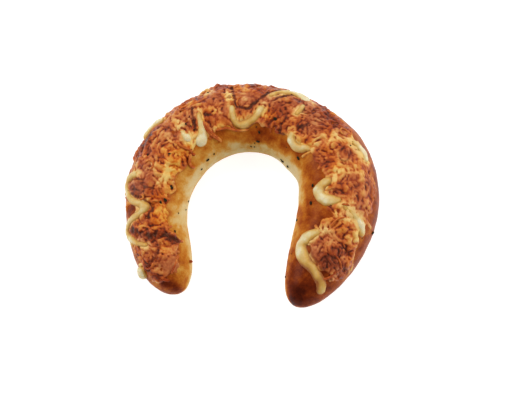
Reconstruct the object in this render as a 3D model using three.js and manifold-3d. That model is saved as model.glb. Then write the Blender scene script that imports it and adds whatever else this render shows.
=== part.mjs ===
// A cheese croissant: a horseshoe roll of soft yeast dough baked brown, with a craggy crust of melted
// grated cheese on its back, piped cream cheese, loose shreds and herb flecks, all baked into one piece.
// Millimetres, +Z up. It lies on its flat base, with the arch towards +Y and both tips towards -Y.

import * as THREE from "three";
import { mergeVertices } from "three/addons/utils/BufferGeometryUtils.js";
import { ImprovedNoise } from "three/addons/math/ImprovedNoise.js";
import Module from "manifold-3d";

// The roll's centre line, seen from above: half an ellipse for the arch, and a leg at each end that
// bends inward by "bend" at its tip. Each leg thins to its tip over the length of its nose.
const archHalfSpan = 54;
const archRise = 55.8;
const archHalfWidth = 20.9;
const leftLeg = { length: 52.4, bend: 16.1, curl: 2, halfWidth: 17.5, nose: 34.5, roundness: 1.95 };
const rightLeg = { length: 61.6, bend: 27.7, curl: 1.55, halfWidth: 24.2, nose: 76.5, roundness: 2 };
const leftToArch = [0.1, 0.32];
const archToRight = [0.565, 0.69];

// The right shoulder stands further out and is a little slimmer, most of all at the place "at" on the line.
const rightShoulder = { at: 204, reach: 24, out: 1.9, slimmer: 0.9 };

// The roll's section: widest at the belly, domed above it and pressed flat on the tray below it. Its crown
// and its underside are shares of the half-width.
const bellyHeight = 13;
const crownShare = 0.98;
const undersideShare = 0.85;

// The middle of the base, measured from the middle of the arch's feet, becomes the origin.
const baseMiddle = { x: 2.4, y: 6.8 };

// Places on the roll are given as [along, angle]: millimetres along the centre line from the left tip,
// and degrees round the section from the inner side, over the back at 90, to the outer side at 180.
const cheese = { thickness: 1.1, thinnest: 0.2, edgeFade: 8, from: 11, to: 274, endFade: 7 };
const crag = { depth: 1.5, size: 6.5, fineShare: 0.6 };
const cheeseInnerEdge = [
  [10, 60], [32, 46], [45, 62], [63, 46], [90, 47], [116, 46], [127, 70], [140, 60],
  [165, 52], [187, 57], [210, 64], [229, 62], [244, 82], [252, 73], [264, 64], [276, 80],
];
const cheeseOuterEdge = [
  [10, 150], [60, 160], [170, 156], [205, 138], [228, 152], [250, 142], [262, 160], [276, 158],
];

// Piped cream cheese, one curve for each stroke that still stands proud of the melted cheese.
const creamRise = 0.5;
const beadFlatness = 0.75;
const creamStrokes = [
  { width: 4.4, path: [[22, 146], [18, 163], [14.5, 171]] },
  { width: 4, path: [[29.4, 112], [34, 142], [41, 166], [44, 128], [50.2, 95]] },
  { width: 4, path: [[48.8, 91], [56, 122], [64.5, 158], [66.5, 125]] },
  { width: 4.6, path: [[88, 158], [91.5, 170], [96, 152], [99.5, 118]] },
  { width: 5, path: [[113, 90], [111, 75], [106, 58], [101, 52]] },
  { width: 4, path: [[134, 92], [134.6, 68], [141, 57], [148.5, 65], [154, 92]] },
  { width: 4.4, path: [[154, 101], [160, 116], [168.5, 133], [173, 131]] },
  { width: 4.8, path: [[177, 70], [180.5, 59], [186, 52], [191, 55], [196, 63]] },
  { width: 3.6, path: [[200, 127], [206, 135], [211, 132]] },
  { width: 5.4, path: [[222, 84], [224, 69], [229.5, 60], [235, 67], [235, 84], [231.5, 96]] },
  { width: 4.4, path: [[236, 99], [239, 121], [247, 142]] },
  { width: 5.4, path: [[254, 80], [259.5, 64], [266.5, 56], [272, 68], [276.5, 102], [284.5, 141]] },
];

// Grated cheese that kept its shape: shreds scattered over the crust, and the four longest by hand.
const shredWidth = 2.1;
const shredRise = 0.35;
const shredCount = 24;
const shredLength = { min: 8, max: 15 };
const shredBow = 4.5;
const shredMargin = 13;
const longShreds = [
  [[111, 70], [115, 57], [120, 38]],
  [[116, 60], [125, 56], [133, 50], [142, 46]],
  [[84.5, 45], [87.5, 40], [86, 32]],
  [[10, 72], [14, 67], [18, 70]],
];
const goldenShare = 0.618;
const seed = 58;

// Herb flecks: flat bits baked onto the crust.
const herbSize = { long: 1.7, wide: 1, thick: 0.6 };
const herbPlaces = [
  [33, 52], [54, 68], [64, 57], [84.5, 81], [91.5, 15], [101.5, 20], [109.5, 22],
  [124, 137], [153, 28], [163, 74], [182, 10], [194.5, 43], [223.5, 53], [249, 22],
];

// Mesh steps.
const bodyStations = 90;
const upperSides = 18;
const lowerSides = 8;
const stationCrowding = 1.25;
const beadSteps = { cream: 3.8, shred: 4.5 };
const beadSides = { cream: 6, shred: 4 };
const sliverTolerance = 0.05;

const wasm = await Module();
wasm.setup();
const { clamp, degToRad, radToDeg, smoothstep, lerp, seededRandom } = THREE.MathUtils;
const noise = new ImprovedNoise();

// A leg's centre line, "below" the arch's foot, on the left (-1) or on the right (1).
function legPoint(leg, side, below) {
  const inward = leg.bend * (below / leg.length) ** leg.curl;
  return new THREE.Vector3(side * (archHalfSpan - inward), -below, 0);
}

class RollLine extends THREE.Curve {
  constructor() {
    super();
    this.arcLengthDivisions = 1200;
    this.archShare = Math.PI * (archHalfSpan + archRise) / 2;
  }

  getPoint(t) {
    const travel = t * (leftLeg.length + this.archShare + rightLeg.length) - leftLeg.length;
    if (travel < 0) return legPoint(leftLeg, -1, -travel);
    if (travel > this.archShare) return legPoint(rightLeg, 1, travel - this.archShare);
    const turn = Math.PI * (1 - travel / this.archShare);
    return new THREE.Vector3(archHalfSpan * Math.cos(turn), archRise * Math.sin(turn), 0);
  }
}

const rollLine = new RollLine();
const rollLength = rollLine.getLength();

// How far a nose has filled out to the leg's full width, "back" from its tip.
function noseFullness(leg, back) {
  const open = clamp(1 - back / leg.nose, 0, 1);
  return (1 - open ** leg.roundness) ** (1 / leg.roundness);
}

// How much of the right shoulder's change applies at a place on the line, from 0 to 1.
function shoulderShare(along) {
  const away = clamp((along - rightShoulder.at) / rightShoulder.reach, -1, 1);
  return (1 + Math.cos(Math.PI * away)) / 2;
}

function halfWidth(along) {
  const share = along / rollLength;
  const arched = lerp(leftLeg.halfWidth, archHalfWidth, smoothstep(share, ...leftToArch));
  const grown = lerp(arched, arched + rightLeg.halfWidth - archHalfWidth, smoothstep(share, ...archToRight));
  const full = grown - rightShoulder.slimmer * shoulderShare(along);
  return full * noseFullness(leftLeg, along) * noseFullness(rightLeg, rollLength - along);
}

// A point of the bare crust.
function skin(along, angle) {
  const share = clamp(along / rollLength, 0, 1);
  const centre = rollLine.getPointAt(share);
  const tangent = rollLine.getTangentAt(share);
  const half = halfWidth(clamp(along, 0, rollLength));
  const across = half * Math.cos(degToRad(angle)) - rightShoulder.out * shoulderShare(along);
  const lift = half * Math.sin(degToRad(angle));
  const height = bellyHeight + lift * (lift > 0 ? crownShare : undersideShare);
  return new THREE.Vector3(
    centre.x + tangent.y * across - baseMiddle.x,
    centre.y - tangent.x * across - baseMiddle.y,
    Math.max(0, height),
  );
}

// The crust's outward direction, from two short steps on it.
function outward(along, angle) {
  const alongStep = skin(along + 0.5, angle).sub(skin(along - 0.5, angle));
  const angleStep = skin(along, angle + 1).sub(skin(along, angle - 1));
  return alongStep.cross(angleStep).normalize();
}

// Reads a list of [along, value] pairs at any place along the roll.
function valueAt(pairs, along) {
  const next = pairs.findIndex(([place]) => place > along);
  if (next === -1) return pairs.at(-1)[1];
  if (next === 0) return pairs[0][1];
  const [start, startValue] = pairs[next - 1];
  const [end, endValue] = pairs[next];
  return lerp(startValue, endValue, (along - start) / (end - start));
}

// How thick the melted cheese lies on the crust: nothing outside its edges, and uneven crags inside.
function cheeseHeight(along, angle) {
  const { thickness, thinnest, edgeFade, from, to, endFade } = cheese;
  const inner = valueAt(cheeseInnerEdge, along);
  const outer = valueAt(cheeseOuterEdge, along);
  const inside = smoothstep(angle, inner, inner + edgeFade) - smoothstep(angle, outer - edgeFade, outer);
  const between = smoothstep(along, from, from + endFade) - smoothstep(along, to - endFade, to);
  const cover = inside * between;
  if (cover === 0) return 0;
  const place = skin(along, angle).divideScalar(crag.size);
  const lumps = noise.noise(...place) + crag.fineShare * noise.noise(...place.multiplyScalar(2));
  return cover * Math.max(thinnest, thickness + crag.depth * lumps);
}

// The melted cheese's surface, or the crust's where it is bare.
function surface(along, angle) {
  const height = cheeseHeight(along, angle);
  if (height === 0) return skin(along, angle);
  return skin(along, angle).addScaledVector(outward(along, angle), height);
}

// A closed mesh without normals or texture places, its shared corners merged, as a solid to join.
function asSolid(geometry) {
  geometry.deleteAttribute("normal");
  geometry.deleteAttribute("uv");
  const shared = mergeVertices(geometry, 1e-4);
  return new wasm.Manifold(new wasm.Mesh({
    numProp: 3,
    vertProperties: shared.attributes.position.array,
    triVerts: new Uint32Array(shared.index.array),
  }));
}

// The roll: a sphere whose poles become the tips and whose rings become the sections along the line.
function rollBody() {
  const sides = upperSides + lowerSides;
  const ball = new THREE.SphereGeometry(1, sides, bodyStations);
  const position = ball.attributes.position;
  for (let i = 0; i < position.count; i++) {
    const station = Math.floor(i / (sides + 1));
    const side = i % (sides + 1);
    const balance = 2 * station / bodyStations - 1;
    const crowded = Math.sign(balance) * (1 - (1 - Math.abs(balance)) ** stationCrowding);
    const along = rollLength * (1 + crowded) / 2;
    const upperAngle = 180 * side / upperSides;
    const angle = side <= upperSides ? upperAngle : 180 + 180 * (side - upperSides) / lowerSides;
    position.setXYZ(i, ...surface(along, angle));
  }
  return asSolid(ball);
}

// A curve that keeps to the crust, given by a few places on it.
class CrustPath extends THREE.Curve {
  constructor(places) {
    super();
    this.track = new THREE.SplineCurve(places.map((place) => new THREE.Vector2(...place)));
  }

  getPoint(t) {
    const place = this.track.getPoint(t);
    return skin(place.x, place.y);
  }
}

// A rounded bead laid along a path on the cheese, sunk to about half its height: a capsule bent to it.
function bead(places, width, rise, step, sides) {
  const path = new CrustPath(places);
  const half = width / 2;
  const length = path.getLength();
  const straight = Math.max(0.5, length / half - 2);
  const rod = new THREE.CapsuleGeometry(1, straight, 2, sides, Math.ceil(length / step));
  const position = rod.attributes.position;
  for (let i = 0; i < position.count; i++) {
    const share = clamp((position.getY(i) / (straight / 2 + 1) + 1) / 2, 0, 1);
    const t = path.getUtoTmapping(share);
    const place = path.track.getPoint(t);
    const up = outward(place.x, place.y);
    const aside = path.getTangent(t).cross(up).normalize();
    const point = surface(place.x, place.y);
    point.addScaledVector(aside, half * position.getX(i));
    point.addScaledVector(up, rise + beadFlatness * half * position.getZ(i));
    position.setXYZ(i, ...point);
  }
  return asSolid(rod);
}

function creamBeads() {
  const { cream: step } = beadSteps;
  return creamStrokes.map(({ width, path }) => bead(path, width, creamRise, step, beadSides.cream));
}

// Shreds spread evenly along the crust, each at its own slant and length.
function shredPlaces() {
  const places = [];
  seededRandom(seed);
  for (let i = 0; i < shredCount; i++) {
    const share = (i + seededRandom()) / shredCount;
    const along = lerp(cheese.from + cheese.endFade, cheese.to - cheese.endFade, share);
    const inner = valueAt(cheeseInnerEdge, along) + shredMargin;
    const outer = valueAt(cheeseOuterEdge, along) - shredMargin;
    const angle = lerp(inner, outer, (i * goldenShare) % 1);
    const slant = Math.PI * seededRandom();
    const reach = lerp(shredLength.min, shredLength.max, seededRandom()) / 2;
    const alongReach = reach * Math.cos(slant);
    const angleReach = radToDeg(reach * Math.sin(slant) / halfWidth(along));
    const bow = shredBow * (2 * seededRandom() - 1);
    places.push([
      [along - alongReach, angle - angleReach],
      [along, angle + bow],
      [along + alongReach, angle + angleReach],
    ]);
  }
  return places;
}

function shreds() {
  const all = [...longShreds, ...shredPlaces()];
  return all.map((path) => bead(path, shredWidth, shredRise, beadSteps.shred, beadSides.shred));
}

// A flat fleck, turned its own way in the crust's plane.
function herbFleck([along, angle], i) {
  const fleck = new THREE.IcosahedronGeometry(1, 0);
  const up = outward(along, angle);
  const forward = skin(along + 1, angle).sub(skin(along - 1, angle)).normalize();
  const turned = forward.applyAxisAngle(up, 2 * Math.PI * ((i * goldenShare) % 1));
  const aside = up.clone().cross(turned);
  const place = new THREE.Matrix4().makeBasis(turned, aside, up);
  fleck.scale(herbSize.long, herbSize.wide, herbSize.thick);
  fleck.applyMatrix4(place.setPosition(surface(along, angle)));
  return asSolid(fleck);
}

// Joins everything that is baked together. Only the outer shell of the largest body is kept, so that
// no closed pocket is left inside and no loose scrap beside it.
function bakeTogether(solids) {
  const joined = solids.reduce((whole, piece) => whole.add(piece)).asOriginal().simplify(sliverTolerance);
  const bodies = joined.decompose().sort((a, b) => b.volume() - a.volume());
  const { vertProperties, triVerts } = bodies[0].getMesh();
  const geometry = new THREE.BufferGeometry();
  geometry.setAttribute("position", new THREE.BufferAttribute(vertProperties, 3));
  geometry.setIndex(new THREE.BufferAttribute(triVerts, 1));
  geometry.computeVertexNormals();
  return geometry;
}

const bakedCrust = new THREE.MeshStandardMaterial({ color: 0xb0682f, roughness: 0.5, metalness: 0 });
const roll = new THREE.Mesh(
  bakeTogether([rollBody(), ...creamBeads(), ...shreds(), ...herbPlaces.map(herbFleck)]),
  bakedCrust,
);
roll.name = "cheese_croissant";

const croissant = new THREE.Group();
croissant.add(roll);

export default croissant;
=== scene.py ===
# Cheese croissant: baked crust, melted cheese, piped cream cheese, loose shreds and herbs on a packed roll.
# Metres, +Z up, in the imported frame: the arch points to +Y and both tips to -Y.
import math

import bmesh
import bpy
import numpy as np
from mathutils import Matrix, Vector, noise


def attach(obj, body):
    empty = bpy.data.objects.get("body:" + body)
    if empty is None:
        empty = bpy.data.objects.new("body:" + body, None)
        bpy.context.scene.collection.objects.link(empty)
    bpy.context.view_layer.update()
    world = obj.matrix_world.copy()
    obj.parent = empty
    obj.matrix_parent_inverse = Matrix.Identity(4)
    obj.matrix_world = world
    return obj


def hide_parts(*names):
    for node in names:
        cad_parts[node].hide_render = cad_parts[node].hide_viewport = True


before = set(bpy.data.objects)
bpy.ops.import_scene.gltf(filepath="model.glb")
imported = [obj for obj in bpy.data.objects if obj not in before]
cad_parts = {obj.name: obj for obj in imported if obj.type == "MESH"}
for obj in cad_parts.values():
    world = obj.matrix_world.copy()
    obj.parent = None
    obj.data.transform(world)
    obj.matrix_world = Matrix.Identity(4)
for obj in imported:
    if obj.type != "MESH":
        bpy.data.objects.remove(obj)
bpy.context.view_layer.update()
mm = 0.001
dice = np.random.default_rng(seed=23)
print("frame loaded with", len(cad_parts), "node")


# The roll's form, the same as the solid's, in millimetres. A place on it is (along, angle): millimetres
# along the centre line from the left tip, and degrees round the section, 0 inside and 90 on the back.
rollForm = {
    "archHalfSpan": 54.0,
    "archRise": 55.8,
    "archHalfWidth": 20.9,
    "left": {
        "length": 52.4, "bend": 16.1, "curl": 2.0, "halfWidth": 17.5, "nose": 34.5, "roundness": 1.95},
    "right": {
        "length": 61.6, "bend": 27.7, "curl": 1.55, "halfWidth": 24.2, "nose": 76.5, "roundness": 2.0},
    "leftToArch": (0.1, 0.32),  # shares of the length over which the width changes
    "archToRight": (0.565, 0.69),
    "shoulder": {"at": 204.0, "reach": 24.0, "out": 1.9, "slimmer": 0.9},  # on the right, most at "at"
    "belly": 13.0,  # height of the widest line
    "crown": 0.98,  # rise of the back and drop of the underside, as shares of the half-width
    "underside": 0.85,
    "baseMiddle": (2.4, 6.8),  # middle of the base, from the middle of the arch's feet
}


def smoothStep(value, low, high):
    t = np.clip((value - low) / (high - low), 0.0, 1.0)
    return t * t * (3.0 - 2.0 * t)


def traceLine(count=3001):
    left, right = rollForm["left"], rollForm["right"]
    span, rise = rollForm["archHalfSpan"], rollForm["archRise"]
    archLength = math.pi * (span + rise) / 2
    travel = np.linspace(-left["length"], archLength + right["length"], count)
    below = np.clip(-travel, 0, None)
    beyond = np.clip(travel - archLength, 0, None)
    turn = math.pi * (1 - np.clip(travel / archLength, 0, 1))
    leftBend = left["bend"] * (below / left["length"]) ** left["curl"]
    rightBend = right["bend"] * (beyond / right["length"]) ** right["curl"]
    x = span * np.cos(turn) + leftBend - rightBend - rollForm["baseMiddle"][0]
    y = rise * np.sin(turn) - below - beyond - rollForm["baseMiddle"][1]
    along = np.concatenate([[0], np.cumsum(np.hypot(np.diff(x), np.diff(y)))])
    return along, x, y


lineAlong, lineX, lineY = traceLine()
rollLength = lineAlong[-1]


def shoulderShare(along):
    away = np.clip((along - rollForm["shoulder"]["at"]) / rollForm["shoulder"]["reach"], -1, 1)
    return (1 + np.cos(math.pi * away)) / 2


def lineAt(along):  # place and heading of the centre line
    reach = 0.4  # how far ahead and back the heading is read
    ahead = np.clip(along + reach, 0, rollLength)
    back = np.clip(along - reach, 0, rollLength)
    dx = np.interp(ahead, lineAlong, lineX) - np.interp(back, lineAlong, lineX)
    dy = np.interp(ahead, lineAlong, lineY) - np.interp(back, lineAlong, lineY)
    tx, ty = dx / np.hypot(dx, dy), dy / np.hypot(dx, dy)
    out = rollForm["shoulder"]["out"] * shoulderShare(along)
    x = np.interp(along, lineAlong, lineX) - ty * out
    y = np.interp(along, lineAlong, lineY) + tx * out
    return x, y, tx, ty


def noseFullness(leg, back):
    openShare = np.clip(1 - back / leg["nose"], 0, 1)
    return (1 - openShare ** leg["roundness"]) ** (1 / leg["roundness"])


def halfWidthAt(along):
    left, right, arch = rollForm["left"], rollForm["right"], rollForm["archHalfWidth"]
    along = np.clip(along, 0, rollLength)
    share = along / rollLength
    width = left["halfWidth"] + (arch - left["halfWidth"]) * smoothStep(share, *rollForm["leftToArch"])
    width = width + (right["halfWidth"] - arch) * smoothStep(share, *rollForm["archToRight"])
    width = width - rollForm["shoulder"]["slimmer"] * shoulderShare(along)
    return width * noseFullness(left, along) * noseFullness(right, rollLength - along)


def crustPoint(along, angle):
    along, angle = np.broadcast_arrays(np.asarray(along, float), np.asarray(angle, float))
    x, y, tx, ty = lineAt(along)
    half = halfWidthAt(along)
    across = half * np.cos(np.radians(angle))
    lift = half * np.sin(np.radians(angle))
    z = rollForm["belly"] + lift * np.where(lift > 0, rollForm["crown"], rollForm["underside"])
    return np.stack([x + ty * across, y - tx * across, np.maximum(z, 0)], -1)


def crustNormal(along, angle):
    run, turn = 0.5, 1.0  # half-steps in millimetres and degrees
    alongStep = crustPoint(along + run, angle) - crustPoint(along - run, angle)
    angleStep = crustPoint(along, angle + turn) - crustPoint(along, angle - turn)
    normal = np.cross(alongStep, angleStep)
    return normal / np.linalg.norm(normal, axis=-1, keepdims=True)


def placesOf(points):  # the nearest (along, angle) of points given in millimetres
    batch, skip = 4000, 3  # points taken at once, and how coarsely the line is searched
    knotX, knotY, knotAlong = lineX[::skip], lineY[::skip], lineAlong[::skip]
    along = np.empty(len(points))
    angle = np.empty(len(points))
    for start in range(0, len(points), batch):
        part = points[start:start + batch]
        gap = (part[:, None, 0] - knotX) ** 2 + (part[:, None, 1] - knotY) ** 2
        near = knotAlong[gap.argmin(axis=1)]
        x, y, tx, ty = lineAt(near)
        across = (part[:, 0] - x) * ty - (part[:, 1] - y) * tx
        rise = part[:, 2] - rollForm["belly"]
        rise = rise / np.where(rise > 0, rollForm["crown"], rollForm["underside"])
        along[start:start + batch] = near
        angle[start:start + batch] = np.degrees(np.arctan2(rise, across)) % 360
    return along, angle


def threadPlaces(places, count):  # a smooth track through a few places on the roll
    knots = np.array(places, float)
    knots = np.vstack([knots[0], knots, knots[-1]])
    share = np.linspace(0, len(places) - 1, count)
    index = np.minimum(share.astype(int), len(places) - 2)
    t = (share - index)[:, None]
    before, start, end, after = (knots[index + k] for k in range(4))
    pull = (end - before) / 2
    push = (after - start) / 2
    curve = (2 * start - 2 * end + pull + push) * t ** 3
    return curve + (3 * end - 3 * start - 2 * pull - push) * t ** 2 + pull * t + start


def patchSum(patches, along, angle):  # soft patches: along, angle, reach along, reach round, amount
    total = np.zeros(np.shape(along))
    for middle, turn, alongReach, angleReach, amount in patches:
        total += amount * np.exp(-((along - middle) / alongReach) ** 2 - ((angle - turn) / angleReach) ** 2)
    return total


def patchMask(patches, along, angle):
    return np.clip(patchSum(patches, along, angle), 0, 1)


def grainAt(points, size, shift):  # soft random lumps round zero, of a size in millimetres
    offset = Vector((shift, shift, shift))
    values = [noise.noise(Vector(p) / size + offset) for p in points.reshape(-1, 3)]
    return np.array(values).reshape(points.shape[:-1])


def grainSum(points, layers):  # layers of grain: size, amount, shift
    return sum(amount * grainAt(points, size, shift) for size, amount, shift in layers)


def selectOnly(piece):
    bpy.ops.object.select_all(action="DESELECT")
    piece.select_set(True)
    bpy.context.view_layer.objects.active = piece


def applyModifier(piece, kind, **settings):
    selectOnly(piece)
    modifier = piece.modifiers.new(kind.lower(), kind)
    for key, value in settings.items():
        setattr(modifier, key, value)
    bpy.ops.object.modifier_apply(modifier=modifier.name)


def joinPieces(pieces, name):
    bpy.ops.object.select_all(action="DESELECT")
    for piece in pieces:
        piece.select_set(True)
    bpy.context.view_layer.objects.active = pieces[0]
    bpy.ops.object.join()
    joined = bpy.context.view_layer.objects.active
    joined.name = name
    joined.data.name = name
    return joined


def vertexPoints(piece):  # in millimetres
    flat = np.empty(len(piece.data.vertices) * 3, np.float32)
    piece.data.vertices.foreach_get("co", flat)
    return flat.reshape(-1, 3).astype(float) / mm


def movePoints(piece, points):  # in millimetres
    piece.data.vertices.foreach_set("co", (points * mm).ravel())
    piece.data.update()


def paintVertices(piece, layer, red, green, blue):
    colours = np.ones((len(piece.data.vertices), 4), np.float32)
    colours[:, 0] = red
    colours[:, 1] = green
    colours[:, 2] = blue
    attribute = piece.data.attributes.new(layer, "FLOAT_COLOR", "POINT")
    attribute.data.foreach_set("color", colours.ravel())


def finishPiece(piece, material):
    piece.data.materials.clear()
    piece.data.materials.append(material)
    piece.data.polygons.foreach_set("use_smooth", [True] * len(piece.data.polygons))
    piece.data.update()
    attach(piece, "root")
    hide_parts("cheese_croissant")
    print(piece.name, "has", len(piece.data.polygons), "faces")


# Colours as they look in daylight, given 0 to 255, for the shader's own linear scale.
def daylight(red, green, blue):
    channels = np.array([red, green, blue]) / 255
    linear = np.where(channels <= 0.04045, channels / 12.92, ((channels + 0.055) / 1.055) ** 2.4)
    return (*(float(c) for c in linear), 1.0)


def setSockets(node, sockets):
    for name, value in sockets.items():
        node.inputs[name].default_value = value


def addNode(tree, kind, **settings):
    node = tree.nodes.new(kind)
    for key, value in settings.items():
        if key in node.inputs:
            node.inputs[key].default_value = value
        else:
            setattr(node, key, value)
    return node


def newMaterial(name):
    material = bpy.data.materials.new(name)
    material.use_nodes = True
    return material, material.node_tree, material.node_tree.nodes["Principled BSDF"]


def rampColour(tree, tone, stops):
    ramp = tree.nodes.new("ShaderNodeValToRGB")
    elements = ramp.color_ramp.elements
    elements[0].position, elements[0].color = stops[0][0], daylight(*stops[0][1])
    elements[1].position, elements[1].color = stops[-1][0], daylight(*stops[-1][1])
    for place, colour in stops[1:-1]:
        elements.new(place).color = daylight(*colour)
    tree.links.new(tone, ramp.inputs["Fac"])
    return ramp.outputs["Color"]


def mixColour(tree, share, first, blend="MIX"):  # the second colour is set afterwards
    mix = addNode(tree, "ShaderNodeMix", data_type="RGBA", blend_type=blend)
    tree.links.new(share, mix.inputs["Factor"])
    tree.links.new(first, mix.inputs["A"])
    return mix


def addSum(tree, start, *terms):  # (socket, weight) pairs, added to a start value
    total = None
    for socket, weight in terms:
        scaled = addNode(tree, "ShaderNodeMath", operation="MULTIPLY_ADD")
        tree.links.new(socket, scaled.inputs[0])
        scaled.inputs[1].default_value = weight
        if total is None:
            scaled.inputs[2].default_value = start
        else:
            tree.links.new(total, scaled.inputs[2])
        total = scaled.outputs[0]
    return total


def addBump(tree, surface, height, depth):
    bump = addNode(tree, "ShaderNodeBump", Distance=depth, Strength=1.0)
    tree.links.new(height, bump.inputs["Height"])
    tree.links.new(bump.outputs["Normal"], surface.inputs["Normal"])


# Oven grain: wide blotches and fine pores, shared by everything that was baked.
def makeOvenGrain():
    group = bpy.data.node_groups.new("ovenGrain", "ShaderNodeTree")
    for name, kind in (("Vector", "Vector"), ("Blotch Scale", "Float"), ("Pore Scale", "Float")):
        group.interface.new_socket(name=name, in_out="INPUT", socket_type="NodeSocket" + kind)
    for name in ("Blotch", "Pore"):
        group.interface.new_socket(name=name, in_out="OUTPUT", socket_type="NodeSocketFloat")
    source = group.nodes.new("NodeGroupInput")
    result = group.nodes.new("NodeGroupOutput")
    for scale, detail, output in (("Blotch Scale", 3.0, "Blotch"), ("Pore Scale", 5.0, "Pore")):
        grain = addNode(group, "ShaderNodeTexNoise", Detail=detail, Roughness=0.6)
        group.links.new(source.outputs["Vector"], grain.inputs["Vector"])
        group.links.new(source.outputs[scale], grain.inputs["Scale"])
        group.links.new(grain.outputs["Fac"], result.inputs[output])
    return group


ovenGrain = makeOvenGrain()


# A baked finish. Its toneMix is a start value and the weights of painted layer, blotches and pores, and its
# bumpMix the weights of pores and blotches and a depth in metres.
def startMaterial(name, layer, look):
    material, tree, surface = newMaterial(name)
    setSockets(surface, look["sockets"])
    place = tree.nodes.new("ShaderNodeTexCoord")
    grain = addNode(tree, "ShaderNodeGroup", node_tree=ovenGrain)
    setSockets(grain, look["grainScale"])
    tree.links.new(place.outputs["Object"], grain.inputs["Vector"])
    paint = addNode(tree, "ShaderNodeAttribute", attribute_name=layer)
    split = tree.nodes.new("ShaderNodeSeparateColor")
    tree.links.new(paint.outputs["Color"], split.inputs["Color"])
    blotch, pore = grain.outputs["Blotch"], grain.outputs["Pore"]
    start, painted, blotched, pored = look["toneMix"]
    tone = addSum(tree, start, (split.outputs["Red"], painted), (blotch, blotched), (pore, pored))
    poreRise, blotchRise, depth = look["bumpMix"]
    addBump(tree, surface, addSum(tree, 0.0, (pore, poreRise), (blotch, blotchRise)), depth)
    return material, tree, surface, split, tone


# Roll crust: egg-washed dough, pale where the oven didn't reach and dark at the tips.
crust = {
    "sides": 24, "ringStep": 4.4, "tipRing": 0.25, "crowding": 1.3, "smoothing": 2,
    # browning by the angle round the section, then soft patches of more or less
    "round": ((0, 0.1), (18, 0.14), (32, 0.32), (48, 0.44), (65, 0.56), (90, 0.62), (135, 0.6),
              (165, 0.57), (195, 0.55), (225, 0.5), (300, 0.46), (335, 0.25), (360, 0.1)),
    "patches": (
        (292, 75, 22, 75, 0.34), (248, 62, 22, 30, 0.09), (262, 10, 34, 26, 0.26), (44, 38, 10, 20, -0.26),
        (75, 40, 18, 14, -0.11), (10, 20, 14, 26, 0.12), (126, 36, 14, 12, 0.1), (156, 41, 20, 14, 0.3),
        (154, 29, 16, 10, 0.17), (178, 42, 10, 12, 0.1), (150, 8, 44, 16, -0.03), (122, 20, 3, 10, 0.2),
        (241, 15, 6, 14, 0.25), (8, 115, 8, 26, 0.17), (8.5, 128, 4, 12, 0.25), (104, 38, 7, 9, 0.18),
        (12, 75, 7, 20, -0.06), (6.5, 60, 5, 22, -0.1), (6.5, 44, 6, 14, 0.1), (3, 80, 3, 60, -0.04),
        (235, 172, 50, 26, 0.06), (207, 46, 13, 13, 0.18), (215, 4, 25, 16, -0.2),
        (280.5, 96, 4.5, 25, -0.24),
    ),
    "mottle": ((11.0, 0.16, 60.0), (4.5, 0.14, 64.0), (2.0, 0.08, 68.0)),
    "drift": ((7.0, 7.0, 21.0), (2.6, 4.0, 31.0)),  # degrees by which the browning runs unevenly
    "shaded": ((150, 0, 48, 28, 0.8),),  # painted shade on the inside of the arch, greying and darkening the dough there
    "ruffles": ((13, 85, 9, 34, 0.9), (150, 90, 400, 400, 0.25)),  # how far the crust's own bumps rise
    "ruffleGrain": ((6.0, 1.0, 72.0), (2.6, 0.6, 76.0)),
    "tray": 2.0,  # no bumps below this height
    "glazedFrom": (20, 70),  # the egg wash sets in over these degrees and heights
    "glazedAbove": (0.3, 5.0),
    "grainScale": {"Blotch Scale": 110.0, "Pore Scale": 900.0},
    "toneMix": (-0.35, 1.0, 0.4, 0.3),
    "bumpMix": (0.35, 0.65, 0.0005),
    "sockets": {
        "Specular IOR Level": 0.06, "Specular Tint": daylight(255, 205, 160), "Coat Roughness": 0.25},
    "browns": (
        (0.0, (222, 200, 150)), (0.14, (218, 186, 122)), (0.3, (208, 148, 62)), (0.45, (190, 110, 32)),
        (0.62, (154, 68, 16)), (0.8, (108, 36, 8)), (1.0, (66, 16, 4)),
    ),
    "shade": (215, 222, 222), "dryRoughness": 0.62, "glazeSmooths": 0.22, "glazeCoat": 0.07,
}


def ringPlaces():
    count = int(rollLength / crust["ringStep"])
    share = np.linspace(-1, 1, count)
    crowded = np.sign(share) * (1 - (1 - np.abs(share)) ** crust["crowding"])
    return rollLength / 2 + crowded * (rollLength / 2 - crust["tipRing"])


def selectLower(piece, level):
    mesh = bmesh.from_edit_mesh(piece.data)
    for vertex in mesh.verts:
        vertex.select = vertex.co.z < level
    mesh.select_flush_mode()
    bmesh.update_edit_mesh(piece.data)


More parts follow.
